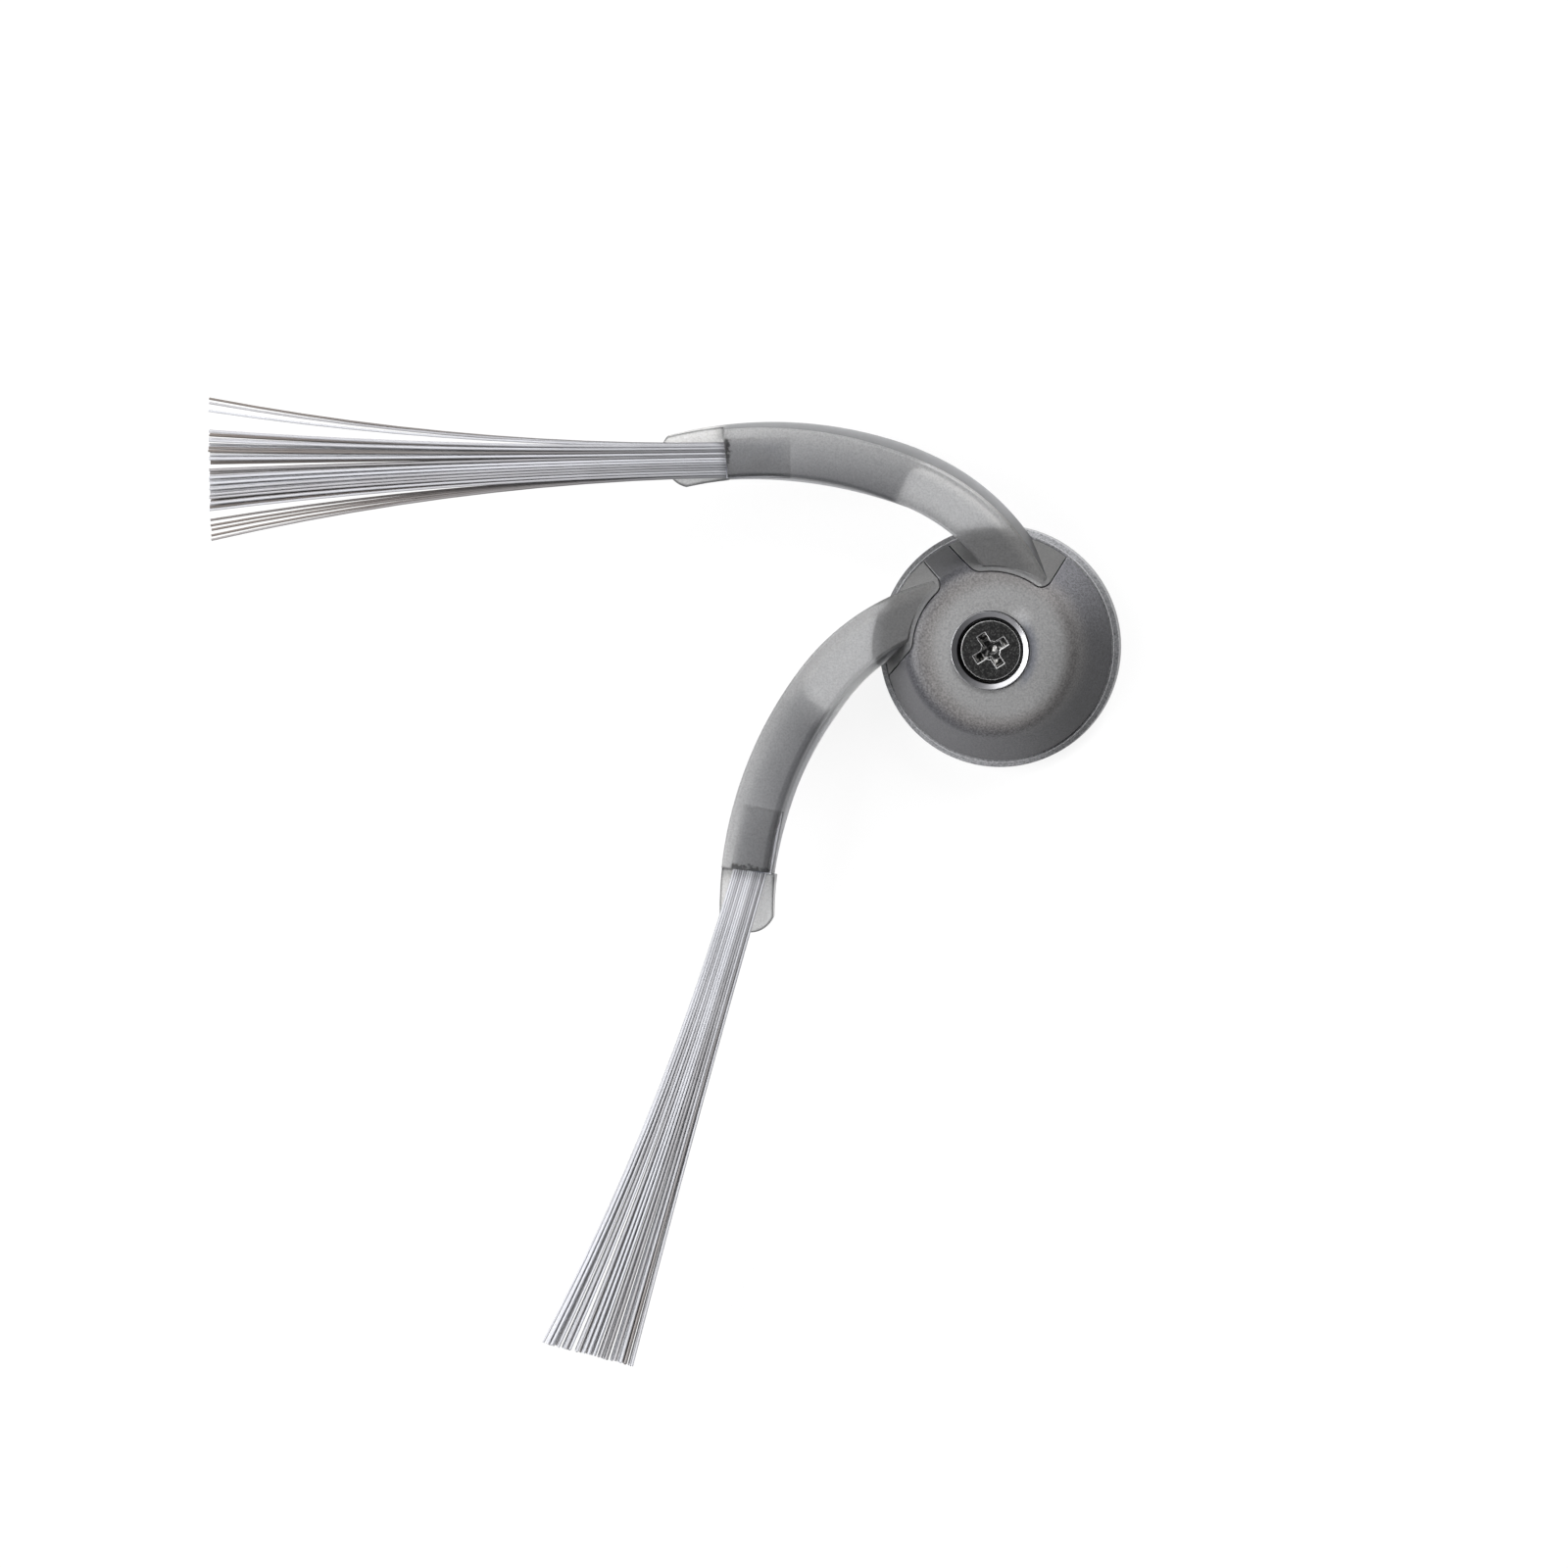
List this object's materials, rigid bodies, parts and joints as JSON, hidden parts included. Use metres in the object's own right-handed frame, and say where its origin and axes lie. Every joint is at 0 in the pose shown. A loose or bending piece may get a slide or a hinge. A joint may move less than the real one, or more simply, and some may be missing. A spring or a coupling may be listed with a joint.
{
  "type": "robot vacuum side brush",
  "caption": "Side brush for a robot vacuum: a domed round hub with a screw in a steel cup, and curved arms that end in fanned bristle tufts.",
  "frame": {"origin": "centre of the drive socket's mouth, on the hub's axis in the plane of the rim's back face", "axes": "+Z along the hub's axis, out of the screw head; +X and +Y as right and up in the picture, so that one arm leaves the hub towards +Y and bends towards -X"},
  "size_m": [0.0919, 0.0984, 0.0157],
  "materials": {
    "hub_plastic": "satin, smoky and slightly translucent",
    "arm_plastic": "satin, soft and translucent",
    "polished_steel": "bright drawn steel",
    "dark_steel": "dark nickel",
    "bristle": "grey nylon"
  },
  "bodies": {
    "root": {"hub_base": "hub_plastic", "hub_cover": "hub_plastic", "cup_washer": "polished_steel", "screw": "dark_steel", "arm_1": "arm_plastic", "arm_2": "arm_plastic", "tuft_1": "bristle", "tuft_2": "bristle"}
  },
  "joints": []
}
